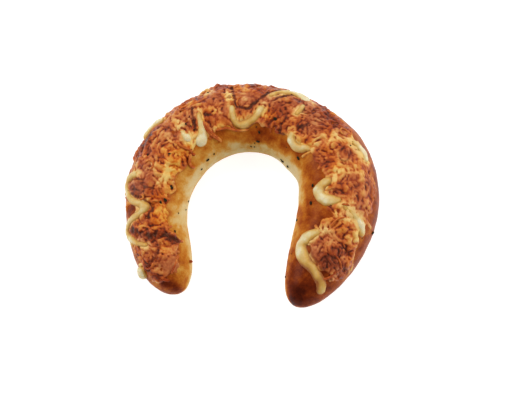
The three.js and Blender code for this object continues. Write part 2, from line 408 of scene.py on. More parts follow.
def sweepRoll():
    places = ringPlaces()
    x, y, tx, ty = lineAt(places)
    half = halfWidthAt(places)
    belly = rollForm["belly"] * mm
    centres = [Vector((a * mm, b * mm, belly)) for a, b in zip(x, y)]
    headings = np.unwrap(np.arctan2(ty, tx))
    bpy.ops.object.select_all(action="DESELECT")
    bpy.ops.mesh.primitive_circle_add(
        vertices=crust["sides"], radius=half[0] * mm, location=centres[0],
        rotation=(math.pi / 2, 0, headings[0] - math.pi / 2))
    roll = bpy.context.object
    bpy.ops.object.transform_apply(location=True, rotation=True, scale=True)
    bpy.ops.object.mode_set(mode="EDIT")
    bpy.ops.mesh.select_all(action="SELECT")
    bpy.ops.transform.resize(value=(1, 1, rollForm["crown"]), center_override=centres[0])
    hair = 1e-7  # keeps the belly line itself out
    selectLower(roll, belly - hair)
    underside = rollForm["underside"] / rollForm["crown"]
    bpy.ops.transform.resize(value=(1, 1, underside), center_override=centres[0])
    bpy.ops.mesh.select_all(action="SELECT")
    bpy.ops.mesh.edge_face_add()
    for i in range(1, len(places)):  # pull the section along the line, turning and growing it ring by ring
        bpy.ops.mesh.extrude_region_move(TRANSFORM_OT_translate={"value": centres[i] - centres[i - 1]})
        turn = headings[i - 1] - headings[i]
        bpy.ops.transform.rotate(value=turn, orient_axis="Z", center_override=centres[i])
        grow = half[i] / half[i - 1]
        bpy.ops.transform.resize(value=(grow, grow, grow), center_override=centres[i])
    selectLower(roll, 0.0)
    bpy.ops.transform.resize(value=(1, 1, 0), center_override=(0, 0, 0))  # press the underside on the tray
    bpy.ops.mesh.select_all(action="SELECT")
    bpy.ops.mesh.normals_make_consistent(inside=False)
    bpy.ops.object.mode_set(mode="OBJECT")
    levels = crust["smoothing"]
    applyModifier(roll, "SUBSURF", levels=levels, render_levels=levels)
    roll.name = "rollCrust"
    return roll


def ruffleCrust(roll):
    points = vertexPoints(roll)
    along, angle = placesOf(points)
    rise = patchSum(crust["ruffles"], along, angle) * grainSum(points, crust["ruffleGrain"])
    rise = rise * (points[:, 2] > crust["tray"])
    movePoints(roll, points + rise[:, None] * crustNormal(along, angle))


def bakeCrust(roll):
    points = vertexPoints(roll)
    along, angle = placesOf(points)
    signed = np.where(angle > 270, angle - 360, angle)
    drift = grainSum(points, crust["drift"])
    turns, levels = zip(*crust["round"])
    bake = np.interp((angle + drift) % 360, turns, levels)
    bake = bake + patchSum(crust["patches"], along, signed + drift)
    bake = bake + grainSum(points, crust["mottle"])
    glaze = smoothStep(signed, *crust["glazedFrom"])
    glaze = glaze * smoothStep(points[:, 2], *crust["glazedAbove"])
    shaded = patchMask(crust["shaded"], along, signed)
    paintVertices(roll, "bake", np.clip(bake, 0, 1), glaze, shaded)


def makeCrustMaterial():
    material, tree, surface, split, tone = startMaterial("bakedCrust", "bake", crust)
    links = tree.links
    browns = rampColour(tree, tone, crust["browns"])
    # painted shade: the Blue layer multiplies the browning by a grey on the arch's inner wall
    shadeMix = mixColour(tree, split.outputs["Blue"], browns, "MULTIPLY")
    shadeMix.inputs["B"].default_value = daylight(*crust["shade"])
    links.new(shadeMix.outputs["Result"], surface.inputs["Base Color"])
    glaze = split.outputs["Green"]
    rough = addSum(tree, crust["dryRoughness"], (glaze, -crust["glazeSmooths"]))
    links.new(rough, surface.inputs["Roughness"])
    links.new(addSum(tree, 0.0, (glaze, crust["glazeCoat"])), surface.inputs["Coat Weight"])
    return material


rollCrust = sweepRoll()
ruffleCrust(rollCrust)
bakeCrust(rollCrust)
finishPiece(rollCrust, makeCrustMaterial())


# Piped cream cheese: a stroke has a height over the crust and runs through (along, angle, width) places.
cream = {
    "sink": 0.62, "wide": 0.72, "voxel": 0.5, "step": 0.8, "leastKnots": 10, "lengthKnots": 60,
    "swell": 0.25, "swellSize": 4.0, "swellApart": 3.1,
    "dents": ((3.2, 0.28, 11.0), (1.3, 0.12, 15.0)),
    "edge": (0.4, 2.0), "edgeToast": 0.42, "edgeCurve": 1.3,  # toasted below these heights over the crust
    # below the rim heights the bead's foot is drawn darker along a thin line
    "rim": (0.0, 0.5), "rimDarkening": 0.22, "toastGrain": ((5.0, 0.25, 51.0),),
    "strokes": (
        (1.8, ((21.5, 152, 3.5), (19, 164, 5), (16, 172, 5))),
        (0.7, ((28.5, 110, 2.2), (31, 124, 2.8), (35, 143, 3.4), (39.5, 159, 3.6), (42.5, 159, 3.6),
               (45, 142, 3.8), (46.5, 123, 3.7), (48.3, 110, 3.7), (50, 101, 4.2), (51.8, 109, 4),
               (54.4, 124, 4), (57.7, 138, 3.9), (61, 147, 3.8), (64.5, 151, 3.9), (67.3, 146, 4.2),
               (68.5, 134, 4), (69, 122, 2.6))),
        (1.2, ((88.5, 150, 3), (90, 156, 4.2), (92.5, 157, 4.4), (95.2, 154, 4.2), (97.6, 147, 4),
               (99.5, 136, 3))),
        (0.6, ((115.5, 100, 2.4), (114, 89, 3), (112.2, 77, 3.8), (110, 66, 5.6), (106.5, 57, 6.8),
               (102.5, 49, 6.6))),
        (0.1, ((102, 92, 2.6), (100.3, 86, 4), (99.3, 79, 5), (101, 73, 5), (103.5, 69, 3.8))),
        (0.4, ((133.4, 113, 3), (133.8, 102, 3))),
        (0.5, ((134, 93, 2.4), (134, 81, 3.2), (134.2, 69, 3.6), (136.5, 59.5, 3.8), (141, 57, 4.2),
               (146, 62.5, 4.2), (149.5, 71, 4.2), (152, 83, 4), (152.6, 92, 3))),
        (0.6, ((154.5, 110, 2.4), (157, 118, 3), (160, 127, 3.4), (164, 136, 3.6), (167.5, 140, 4.2),
               (171, 136, 5), (173.5, 131, 4.6))),
        (0.8, ((173, 119, 1.8), (173.4, 110, 2.4), (173.5, 102, 2.8), (173.2, 92, 2.4))),
        (0.5, ((177, 70, 3.4), (179.5, 60, 4.8), (183, 55, 4.8), (187.5, 53.5, 4.8), (191.5, 57.5, 4.2),
               (194, 63.5, 3.4), (197.5, 65, 2.6))),
        (0.4, ((203, 124, 2.6), (205.5, 133, 3.6), (209, 139, 4.2), (212, 139.5, 3.6), (214, 136, 2.2))),
        (0.6, ((221.5, 84, 2.6), (222.5, 76, 4.4), (224.5, 68, 5.6), (228, 63, 6.2), (232.5, 65, 6),
               (235.2, 74, 5.6), (235.5, 83, 5), (235, 91, 4.4), (234, 97, 2.6))),
        (-0.1, ((236.5, 97, 2.2), (238, 105, 2.8), (239, 113, 3.4), (240.5, 122, 4), (242, 130, 4.8),
                (243.7, 137, 5.2), (246, 141.5, 4.8), (249, 139, 3))),
        (0.2, ((253.5, 80, 3), (257.5, 71, 5), (261.5, 60, 6), (266, 54.5, 6.4), (270.5, 62, 6.4),
               (273.5, 77, 6), (275.5, 94, 5.3), (277.5, 110, 5.1), (279.2, 124, 5), (281.5, 136, 4.6),
               (283.2, 142.5, 3.7), (284.8, 149, 1.9))),
    ),
    "toasted": (
        (159, 121, 6, 12, 0.2), (171, 136, 4, 8, -0.4), (229, 75, 10, 20, 0.16), (50, 125, 14, 34, 0.23),
        (203, 126, 3, 8, 0.1), (209, 136, 6, 12, -0.25), (280, 118, 9, 36, 0.42), (273, 78, 5, 16, 0.22),
        (18, 160, 8, 20, 0.04), (142, 62, 12, 20, 0.28), (67.5, 130, 4, 24, 0.1), (105, 54, 8, 14, -0.42),
        (101, 74, 4, 10, -0.3), (31, 120, 4, 16, 0.15), (133.5, 108, 3, 12, 0.3), (173.5, 102, 3, 14, 0.22),
        (115, 94, 3, 12, 0.2), (243, 134, 5, 12, -0.25),
    ),
    "grainScale": {"Blotch Scale": 260.0, "Pore Scale": 1400.0},
    "toneMix": (0.0, 0.95, 0.3, 0.2),
    "bumpMix": (0.4, 0.6, 0.0006),
    "sockets": {"Roughness": 0.4, "Specular IOR Level": 0.25, "Subsurface Weight": 0.3,
                "Subsurface Radius": (1.0, 0.6, 0.3), "Subsurface Scale": 0.0015},
    "yellows": (
        (0.0, (241, 233, 204)), (0.2, (234, 225, 190)), (0.34, (222, 198, 138)), (0.6, (210, 163, 76)),
        (0.95, (160, 92, 36)),
    ),
}


def trackLength(track):
    points = crustPoint(track[:, 0], track[:, 1])
    return np.linalg.norm(np.diff(points, axis=0), axis=1).sum()


def layBead(name, track, radius, height):  # a round bead along a track, its centre so high over the crust
    points = crustPoint(track[:, 0], track[:, 1]) + crustNormal(track[:, 0], track[:, 1]) * height[:, None]
    curve = bpy.data.curves.new(name, "CURVE")
    curve.dimensions = "3D"
    curve.bevel_depth = mm
    curve.bevel_resolution = 4
    curve.use_fill_caps = True
    spline = curve.splines.new("POLY")
    spline.points.add(len(points) - 1)
    for knot, point, size in zip(spline.points, points, radius):
        knot.co = (*(point * mm), 1.0)
        knot.radius = size
    bead = bpy.data.objects.new(name, curve)
    bpy.context.collection.objects.link(bead)
    selectOnly(bead)
    bpy.ops.object.convert(target="MESH")
    return bpy.context.object


def taperedEnds(share, length, firstReach, lastReach):
    ends = np.minimum(share * length / firstReach, (1 - share) * length / lastReach)
    thinnest = 0.02
    return np.sqrt(np.clip(1 - (1 - np.clip(ends, 0, 1)) ** 2, thinnest, 1))


def pipeCream():
    beads = []
    for index, (proud, places) in enumerate(cream["strokes"]):
        length = trackLength(threadPlaces(places, cream["lengthKnots"]))
        count = max(cream["leastKnots"], int(length / cream["step"]))
        track = threadPlaces(places, count)
        share = np.linspace(0, 1, count)
        beat = share * length / cream["swellSize"]
        lane = cream["swellApart"] * index
        swell = 1 + cream["swell"] * np.array([noise.noise((lane, b, 0.5)) for b in beat])
        full = cream["wide"] * track[:, 2] * swell
        radius = full * taperedEnds(share, length, full[0], full[-1])
        beads.append(layBead(f"stroke{index}", track, radius, proud - cream["sink"] * full))
    piped = joinPieces(beads, "creamCheese")
    applyModifier(piped, "REMESH", mode="VOXEL", voxel_size=cream["voxel"] * mm)
    applyModifier(piped, "SMOOTH", factor=0.5, iterations=4)
    return piped


def roughenCream(piped):  # the set surface, dented and a little lumpy
    points = vertexPoints(piped)
    dents = grainSum(points, cream["dents"])
    movePoints(piped, points + crustNormal(*placesOf(points)) * dents[:, None])


def toastCream(piped):
    points = vertexPoints(piped)
    along, angle = placesOf(points)
    lift = np.einsum("ij,ij->i", points - crustPoint(along, angle), crustNormal(along, angle))
    edge = 1 - smoothStep(lift, *cream["edge"])
    rim = 1 - smoothStep(lift, *cream["rim"])
    # rimDarkening draws a thin darker line at the foot of each bead
    toast = cream["edgeToast"] * edge ** cream["edgeCurve"] + cream["rimDarkening"] * rim
    toast = toast + patchSum(cream["toasted"], along, angle)
    toast = toast + grainSum(points, cream["toastGrain"])
    paintVertices(piped, "toast", np.clip(toast, 0, 1), 0, 0)


def makeCreamMaterial():
    material, tree, surface, _, tone = startMaterial("creamCheese", "toast", cream)
    tree.links.new(rampColour(tree, tone, cream["yellows"]), surface.inputs["Base Color"])
    return material


creamCheese = pipeCream()
roughenCream(creamCheese)
toastCream(creamCheese)
finishPiece(creamCheese, makeCreamMaterial())


# Melted cheese: lumps, strands, shreds and crumbs that ran together, as a fine sheet over the roll's back.
# Its edges are (along, angle) places. Its patches are soft: a place, a reach each way and an amount.
# Its grain is given as size, amount and shift, and its folds as size, stretch and rise, calm and grainy.
cheese = {
    "alongRange": (6.0, 282.0), "angleRange": (36.0, 174.0), "alongStep": 0.5, "angleStep": 1.35,
    "film": 0.4, "sunk": 0.8, "rooted": 0.6, "shownAbove": -0.3,
    "from": 8.0, "to": 276.0, "endFade": 4.0, "edgeFade": 5.0, "bareFade": (0.3, 0.7),
    "edgeRagged": ((5.0, 9.0, 40.0),), "endsRagged": 0.4,
    "lumps": ((9.0, 0.6, 63.0), (4.0, 0.4, 28.0)),
    "folds": ((5.6, 1.0, 2.0, 1.3), (3.0, 1.0, 1.3, 1.8), (2.1, 2.0, 0.3, 0.3), (1.5, 1.0, 0.6, 0.95)),
    "foldShift": 90.0, "foldDrop": 0.2, "foldWarp": (7.0, 2.2, 81.0), "calmFolds": 0.8,
    "lean": ((20, 0.5), (90, 0.5), (120, 0.0)),
    "grainy": (
        (186, 105, 15, 45, 0.9), (263, 112, 9, 40, 0.7), (226, 120, 10, 25, 0.5), (146, 105, 12, 24, 0.4),
        (115, 115, 10, 25, 0.4),
    ),
    "heaps": (
        (129, 150, 3.5, 16, 1.8), (150, 150, 15, 20, -0.7), (73, 155, 6, 16, -0.8), (265, 118, 8, 24, 0.7),
        (18.5, 87, 1.6, 9, 0.9), (22, 61, 1.3, 4, 0.9), (14.5, 82, 5, 24, 0.5),
    ),
    "shreds": 110, "shredLength": (5.0, 13.0), "shredReach": (0.6, 1.1), "shredRise": (0.25, 0.6),
    "shredCurl": 0.7, "shredTone": (-0.1, 0.14),
    "crumbs": 120, "crumbReach": (0.7, 1.7), "crumbRise": (0.4, 0.9), "crumbTone": (-0.1, 0.1),
    "dropOn": (0.45, 0.95), "shunSmooth": 0.85, "trackStep": 0.7, "leastKnots": 4, "stray": 0.5,
    "tightest": 0.6,  # true length of a millimetre along, on the inside of the bend
    "settle": 0.55, "settleRange": (-0.2, 1.8), "bluntness": 0.7,
    "soften": 0.4, "fineGrain": ((1.2, 0.12, 3.0),),
    "lying": 0.3, "creases": ((8, 0.8), (40, 0.3)), "cavityRange": (-1.5, 2.5),  # rounds of blur, share
    "underCream": 0.7, "hollowEdge": (0.55, 0.85), "greaseFrom": 0.6, "greaseReach": 1.2,
    "lineKnots": 40, "lineReach": 6.0, "farAway": 99.0,
    "innerEdge": (
        (10, 58), (17, 55), (20, 57), (25, 42), (31, 46), (36, 58), (50, 60), (56, 57), (63, 46), (70, 54),
        (80, 50), (90, 47), (98, 55), (106, 54), (116, 48), (121, 57), (134, 60), (140, 58), (153, 56),
        (162, 54), (168, 47), (175, 56), (186, 57), (197, 61), (210, 64), (222, 69), (229, 63), (237, 76),
        (244, 82), (250, 76), (264, 66), (270, 76), (273, 92), (276, 110),
    ),
    "outerEdge": (
        (10, 150), (60, 160), (170, 157), (205, 142), (228, 153), (250, 142), (263, 164), (270, 174),
        (276, 160),
    ),
    "bare": ((244.5, 64, 6, 16, 1.2), (50.5, 138, 3.5, 14, 1.4)),
    "smooth": (
        (149, 108, 6, 16, 0.8), (51, 138, 6, 16, 1), (270, 90, 3, 15, 0.7), (73, 66, 6, 9, 0.6),
        (208, 129, 8, 13, 0.7), (22.5, 72, 2.5, 11, 0.9), (101, 74, 5, 10, 0.8), (238, 105, 2.5, 10, 0.5),
        (243, 134, 4, 12, 0.9), (173, 96, 2, 8, 0.6), (133.5, 109, 2, 9, 0.6), (13, 84, 5, 28, 0.95),
        (46, 75, 7, 12, 0.6), (61, 115, 4, 18, 0.6), (267, 84, 4, 9, 0.8), (141, 70, 5, 8, 0.4),
        (125.5, 67, 5, 9, 1),
    ),
    # browning: a middle tone with soft patches, painted shade in the creases and painted light on the
    # crests, then fried and burnt places
    "middle": 0.42, "creaseShade": 0.19, "crestLight": 0.06, "greaseTone": -0.25,
    "uneven": ((7.0, 0.42, 13.0), (2.6, 0.15, 17.0)), "strandGrain": ((1.9, 0.06, 19.0),),
    "strandStretch": 2.0, "calmTone": 0.6,
    "friedMiddle": 0.45, "friedGrain": ((9.0, 0.6, 71.0),),
    "burntRagged": ((1.8, 0.6, 29.0),), "patchRagged": 1.6, "patchCavity": 0.15, "patchFade": (0.35, 1.0),
    "lineMiddle": 0.95, "lineGrain": ((4.5, 0.5, 33.0),), "lineFade": (0.35, 1.05),
    "burntTone": 0.22, "patchChar": 0.5,
    "patches": (
        # the first patch lightens the film at the left tip, partly real tone and partly a painted highlight
        (13, 85, 5, 22, -0.13), (9, 85, 3, 34, 0.15), (10.5, 127, 4, 11, 0.4), (17, 108, 4, 16, 0.08),
        (18.5, 87, 1.6, 9, 0.06), (23, 72, 2.5, 9, -0.26), (26, 50, 2.5, 9, 0.25),
        (29.5, 68, 2.2, 12, 0.25), (32.5, 95, 3, 15, 0.35), (36, 102, 3, 14, 0.2), (36, 72, 4, 12, 0.1),
        (25, 117, 4.5, 11, 0.16), (19.5, 135, 2.5, 14, 0.25), (40, 134, 2, 10, 0.3),
        (40.5, 110, 2.5, 8, -0.08), (46, 112, 3, 7, -0.3), (44, 69, 6, 11, -0.24), (50, 125, 3, 12, 0.1),
        (61, 114, 5, 18, 0.2), (74, 72, 6, 11, -0.46), (68, 70, 3, 10, -0.14), (74, 98, 5, 12, -0.18),
        (64, 85, 5, 10, -0.28), (80.5, 116, 2.5, 6, 0.3), (86, 138, 5, 14, 0.25), (97.5, 110, 3, 8, 0.22),
        (88.5, 43, 4, 10, 0.4), (84, 68, 3, 8, 0.1), (80, 63, 4, 8, -0.38), (92, 62, 3, 8, 0.08),
        (95, 84, 4, 8, -0.05), (102, 70, 5, 11, -0.36), (99, 98, 3, 7, -0.25), (84, 78, 5, 10, -0.1),
        (110, 88, 3, 8, 0.15), (121, 100, 5, 12, 0.06), (118, 90, 2, 5, 0.3), (125, 67, 5, 8, -0.05),
        (133.5, 109, 1.8, 9, -0.36), (141, 70, 5, 8, -0.12), (146, 105, 8, 18, 0.08),
        (162, 88, 7, 20, 0.16), (168, 57, 4, 6, 0.3), (173, 96, 2, 8, -0.36), (174, 72, 4, 8, -0.12),
        (180, 86, 5, 9, 0.27), (188, 122, 6, 12, 0.08), (185, 105, 8, 14, 0.06), (196, 76, 4, 6, -0.18),
        (199, 93, 6, 10, -0.3), (190, 88, 4, 7, -0.05), (194.5, 110, 5, 10, -0.22),
        (225, 100, 38, 60, 0.03), (209, 130, 8, 13, -0.44), (209.5, 103, 3, 7, 0.08),
        (216, 133, 3, 8, 0.34), (218, 100, 4, 16, -0.3), (242, 114, 3, 10, -0.2), (245, 131, 5, 13, -0.24),
        (228, 88, 4, 9, -0.18), (224, 107, 5, 14, -0.14), (238, 105, 3, 11, -0.28), (252, 103, 4, 9, -0.16),
        (253, 122, 3, 14, -0.08), (243, 92, 5, 10, -0.04), (267, 84, 4, 9, 0.1), (265, 118, 7, 26, 0.27),
        (267, 147, 4, 10, -0.2),
    ),
    "friedPatches": (
        (180, 110, 22, 40, 0.36), (226, 125, 12, 25, 0.15), (147, 105, 12, 22, 0.35),
        (265, 110, 12, 30, 0.3), (85, 130, 25, 25, 0.2), (13, 85, 7, 28, 0.6), (267, 84, 5, 12, 0.4),
        (61, 115, 6, 20, 0.4), (48, 74, 14, 18, -0.5), (142, 70, 8, 10, -0.5), (90, 60, 14, 14, -0.4),
        (200, 86, 10, 20, -0.4), (72, 66, 8, 12, -0.4), (252, 115, 6, 25, -0.3),
    ),
    "burntLines": (  # half-width in millimetres, strength, places
        (1.1, 0.85, ((59, 131), (56, 114), (54.5, 104), (51, 90), (48.5, 89), (46, 95), (43, 97))),
        (1.2, 0.5, ((27, 87), (22.5, 99), (20, 115), (19.5, 129))),
        (1.3, 0.4, ((26, 50), (30, 65), (33.5, 82), (33, 97), (36, 116), (39, 130), (41.5, 140))),
        (1.2, 0.8, ((113.5, 114), (111, 97), (109, 84), (107.5, 75))),
        (1.3, 0.95, ((135.5, 131), (136, 110), (136.5, 95), (138, 89), (141, 85), (144, 83), (146.5, 89),
                     (150, 100), (152, 108), (154.5, 120), (157, 128), (160, 136))),
        (1.1, 0.9, ((157.5, 102), (160.5, 113), (163, 122), (165.5, 131), (168.5, 134))),
        (0.9, 0.7, ((174.5, 112), (175.5, 103))),
        (1.2, 0.7, ((168.5, 70), (170, 57), (173, 58))),
        (1.3, 0.6, ((179, 80), (181, 84), (183, 92))),
        (1.4, 0.45, ((265.5, 73), (268.5, 81), (270.5, 92), (273, 107), (274, 123), (274.5, 137))),
        (0.8, 0.7, ((66, 135), (66, 119), (65.5, 106))),
        (0.7, 0.6, ((63.5, 112), (61.5, 100), (61, 86))),
        (0.7, 0.6, ((61, 134), (61, 122), (59.5, 113))),
        (0.7, 0.5, ((59.5, 105), (55, 100))),
        (0.9, 0.45, ((229, 77), (228.5, 85), (229, 95))),
        (0.7, 0.45, ((206, 108), (206.5, 100), (209, 97), (211.8, 99), (212.6, 105), (210.8, 110),
                     (208, 110))),
    ),
    "burntPatches": (
        (33.5, 93, 3, 14, 0.85), (31, 68, 2.5, 8, 0.9), (26.5, 51, 2, 7, 0.8), (41, 138, 2, 8, 0.9),
        (36.5, 121, 2.5, 8, 0.6), (86, 134, 2.5, 11, 0.8), (112.5, 106, 2, 9, 0.6), (119, 89, 1.5, 5, 0.7),
        (123.5, 146, 2, 5, 0.8), (174.5, 108, 1.5, 5, 0.6), (170, 58, 3, 5, 0.5), (181, 84, 3, 7, 0.3),
        (259, 126, 4, 10, 0.4), (249.5, 108, 1.5, 5, 0.6),
    ),
    "grainScale": {"Blotch Scale": 500.0, "Pore Scale": 1700.0},
    "toneMix": (-0.175, 1.0, 0.25, 0.1),
    "bumpMix": (0.4, 0.6, 0.0005),
    "sockets": {"Roughness": 0.24, "Specular IOR Level": 0.3, "Specular Tint": daylight(255, 205, 160)},
    "moltenBrowns": (
        (0.0, (236, 198, 112)), (0.18, (226, 158, 62)), (0.38, (207, 106, 29)), (0.58, (168, 63, 16)),
        (0.78, (114, 36, 12)), (1.0, (64, 18, 8)),
    ),
    "friedBrowns": (
        (0.0, (228, 188, 122)), (0.18, (212, 148, 90)), (0.38, (187, 104, 60)), (0.58, (150, 65, 36)),
        (0.78, (104, 40, 25)), (1.0, (62, 21, 14)),
    ),
    "char": (68, 22, 12),
}


def cheeseCover(along, angle, points):
    inner = np.interp(along, *zip(*cheese["innerEdge"]))
    outer = np.interp(along, *zip(*cheese["outerEdge"]))
    ragged = grainSum(points, cheese["edgeRagged"])
    turn, run = angle + ragged, along + cheese["endsRagged"] * ragged
    fade, endFade = cheese["edgeFade"], cheese["endFade"]
    start, stop = cheese["from"], cheese["to"]
    inside = smoothStep(turn, inner, inner + fade) * (1 - smoothStep(turn, outer - fade, outer))
    between = smoothStep(run, start, start + endFade) * (1 - smoothStep(run, stop - endFade, stop))
    bare = patchMask(cheese["bare"], along, angle)
    return inside * between * (1 - smoothStep(bare, *cheese["bareFade"]))


def leanAt(along):  # how far the strands lean along the roll as they run round it
    return np.interp(along, *zip(*cheese["lean"]))


def strandPlaces(along, angle, stretch):  # the roll's back laid flat, squeezed the way the strands run
    around = np.radians(angle - 90) * halfWidthAt(along)
    lean = leanAt(along) * (stretch - 1)
    return np.stack([along - lean * around, around / stretch, np.zeros(np.shape(along))], -1)


def spreadSheet():
    alongs = np.arange(*cheese["alongRange"], cheese["alongStep"])
    angles = np.arange(*cheese["angleRange"], cheese["angleStep"])
    along, angle = np.meshgrid(alongs, angles, indexing="ij")
    skin = crustPoint(along, angle)
    cover = cheeseCover(along, angle, skin)
    smooth = patchMask(cheese["smooth"], along, angle)
    grainy = patchMask(cheese["grainy"], along, angle)
    warpSize, warpAmount, warpShift = cheese["foldWarp"]
    warp = warpAmount * np.stack([grainAt(skin, warpSize, warpShift + k) for k in range(3)], -1)
    lumps = grainSum(skin, cheese["lumps"])
    for size, stretch, calm, crisp in cheese["folds"]:  # lumps and strands with creases between them
        rise = (1 - cheese["calmFolds"] * smooth) * (calm + (crisp - calm) * grainy)
        weave = strandPlaces(along, angle, stretch) + warp
        folded = np.abs(grainAt(weave, size, cheese["foldShift"]))
        lumps = lumps + rise * (folded - cheese["foldDrop"])
    lumps = lumps + patchSum(cheese["heaps"], along, angle)
    height = cover * (cheese["film"] + cheese["sunk"] + lumps) - cheese["sunk"]
    return {"alongs": alongs, "angles": angles, "along": along, "angle": angle, "skin": skin,
            "cover": cover, "height": height, "tone": np.zeros(along.shape), "smooth": smooth, "warp": warp}


bumpTraits = ("Reach", "Rise", "Tone")


def layBump(sheet, places, reach, rise, tone):  # one shred or crumb of cheese, on what lies there already
    alongReach = reach / cheese["tightest"]
    angleReach = math.degrees(reach / float(halfWidthAt(places[:, 0].mean())))
    low = places.min(axis=0)
    high = places.max(axis=0)
    i0, i1 = np.searchsorted(sheet["alongs"], (low[0] - alongReach, high[0] + alongReach))
    j0, j1 = np.searchsorted(sheet["angles"], (low[1] - angleReach, high[1] + angleReach))
    if i1 - i0 < 2 or j1 - j0 < 2:
        return
    window = (slice(i0, i1), slice(j0, j1))
    points = crustPoint(places[:, 0], places[:, 1])
    gap = np.linalg.norm(sheet["skin"][window][:, :, None, :] - points, axis=-1).min(axis=-1) / reach
    inside = gap < 1
    if not inside.any():
        return
    lying = np.clip(sheet["height"][window][inside].mean(), *cheese["settleRange"])
    level = cheese["settle"] * lying
    top = level + rise * np.clip(1 - gap ** 2, 0, 1) ** cheese["bluntness"]
    wins = inside & (top > sheet["height"][window])
    sheet["height"][window] = np.where(wins, top, sheet["height"][window])
    sheet["tone"][window] = np.where(wins, tone, sheet["tone"][window])


def dropPlace(sheet):  # a random place where the cheese lies thick, its fringe included
    while True:
        i = dice.integers(len(sheet["alongs"]))
        j = dice.integers(len(sheet["angles"]))
        thick = sheet["cover"][i, j] * (1 - cheese["shunSmooth"] * sheet["smooth"][i, j])
        if thick > dice.uniform(*cheese["dropOn"]):
            return sheet["alongs"][i], sheet["angles"][j]


def curlTrack(along, angle, length, curl):  # a short curled path through a place, mostly round the roll
    count = max(cheese["leastKnots"], int(length / cheese["trackStep"]))
    heading = math.pi / 2 - math.atan(leanAt(along)) + dice.normal(0, cheese["stray"])
    heading = heading + np.linspace(-1, 1, count) * dice.normal(0, curl)
    forward = np.cumsum(np.cos(heading)) * length / count
    aside = np.cumsum(np.sin(heading)) * length / count
    turn = np.degrees((aside - aside.mean()) / float(halfWidthAt(along)))
    return np.stack([along + forward - forward.mean(), angle + turn], -1)


def grateCheese(sheet):
    for _ in range(cheese["shreds"]):
        length = dice.uniform(*cheese["shredLength"])
        track = curlTrack(*dropPlace(sheet), length, cheese["shredCurl"])
        layBump(sheet, track, *(dice.uniform(*cheese["shred" + trait]) for trait in bumpTraits))
    for _ in range(cheese["crumbs"]):
        place = np.array([dropPlace(sheet)])
        layBump(sheet, place, *(dice.uniform(*cheese["crumb" + trait]) for trait in bumpTraits))


def blurred(field, times):
    own = 2  # a point's own weight beside its four neighbours
    for _ in range(times):
        padded = np.pad(field, 1, mode="edge")
        beside = padded[:-2, 1:-1] + padded[2:, 1:-1] + padded[1:-1, :-2] + padded[1:-1, 2:]
        field = (beside + own * field) / (4 + own)
    return field


def nearLine(sheet, places):  # how far each point of the sheet is from a track, and the track's place there
    track = threadPlaces(places, cheese["lineKnots"])
    points = crustPoint(track[:, 0], track[:, 1])
    gap = np.full(sheet["along"].shape, cheese["farAway"])
    nearest = np.zeros(sheet["along"].shape, int)
    reach = cheese["lineReach"]
    rows = (sheet["alongs"] > track[:, 0].min() - reach) & (sheet["alongs"] < track[:, 0].max() + reach)
    gaps = np.linalg.norm(sheet["skin"][rows][:, :, None, :] - points, axis=-1)
    gap[rows] = gaps.min(axis=-1)
    nearest[rows] = gaps.argmin(axis=-1)
    return gap, track[nearest]


def meltCheese(sheet):
    soften = cheese["soften"]
    height = (1 - soften) * sheet["height"] + soften * blurred(sheet["height"], 1)
    height = height + grainSum(sheet["skin"], cheese["fineGrain"]) * (height > 0)
    lying = sheet["cover"] > cheese["lying"]
    # the cavity says how deep each point lies in a crease; it drives the painted shade below
    cavity = 0
    for rounds, share in cheese["creases"]:
        hollow = blurred(height, rounds) - height
        cavity = cavity + share * hollow / hollow[lying].std()
    sheet["cavity"] = np.clip(cavity, *cheese["cavityRange"])
    sheet["halo"] = np.zeros(height.shape)
    for _, places in cream["strokes"]:  # cream lies in a hollow of the cheese and greases it yellow
        gap, nearest = nearLine(sheet, places)
        width = nearest[..., 2]
        hollow = 1 - smoothStep(gap / width, *cheese["hollowEdge"])
        height = height - hollow * np.clip(height - cheese["underCream"], 0, None)
        away = np.clip(gap - cheese["greaseFrom"] * width, 0, None) / cheese["greaseReach"]
        sheet["halo"] = np.maximum(sheet["halo"], np.exp(-away ** 2))
    sheet["height"] = height


def brownCheese(sheet):
    along, angle, skin, cavity = sheet["along"], sheet["angle"], sheet["skin"], sheet["cavity"]
    tone = cheese["middle"] + sheet["tone"] + patchSum(cheese["patches"], along, angle)
    # painted shade and light: creases drawn darker and crests lighter, as light falls on the lumps
    crease = np.clip(cavity, 0, None)
    tone = tone + cheese["creaseShade"] * crease + cheese["crestLight"] * (cavity - crease)
    tone = tone + cheese["greaseTone"] * sheet["halo"]
    strands = strandPlaces(along, angle, cheese["strandStretch"]) + sheet["warp"]
    uneven = grainSum(skin, cheese["uneven"]) + grainSum(strands, cheese["strandGrain"])
    tone = tone + uneven * (1 - cheese["calmTone"] * sheet["smooth"])
    fried = cheese["friedMiddle"] + patchSum(cheese["friedPatches"], along, angle)
    sheet["fried"] = np.clip(fried + grainSum(skin, cheese["friedGrain"]), 0, 1)
    ragged = grainSum(skin, cheese["burntRagged"])
    burnt = patchSum(cheese["burntPatches"], along, angle) + cheese["patchRagged"] * ragged
    # the burnt patches also spread into creases and back from crests, partly painted shade
    burnt = smoothStep(burnt + cheese["patchCavity"] * cavity, *cheese["patchFade"])
    broken = cheese["lineMiddle"] + grainSum(skin, cheese["lineGrain"])
    lines = np.zeros(along.shape)
    for halfWidth, strength, places in cheese["burntLines"]:
        gap = nearLine(sheet, places)[0] / halfWidth + ragged
        lines = np.maximum(lines, strength * broken * (1 - smoothStep(gap, *cheese["lineFade"])))
    sheet["tone"] = np.clip(tone + cheese["burntTone"] * np.maximum(burnt, lines), 0, 1)
    sheet["burnt"] = np.clip(np.maximum(cheese["patchChar"] * burnt, lines), 0, 1)


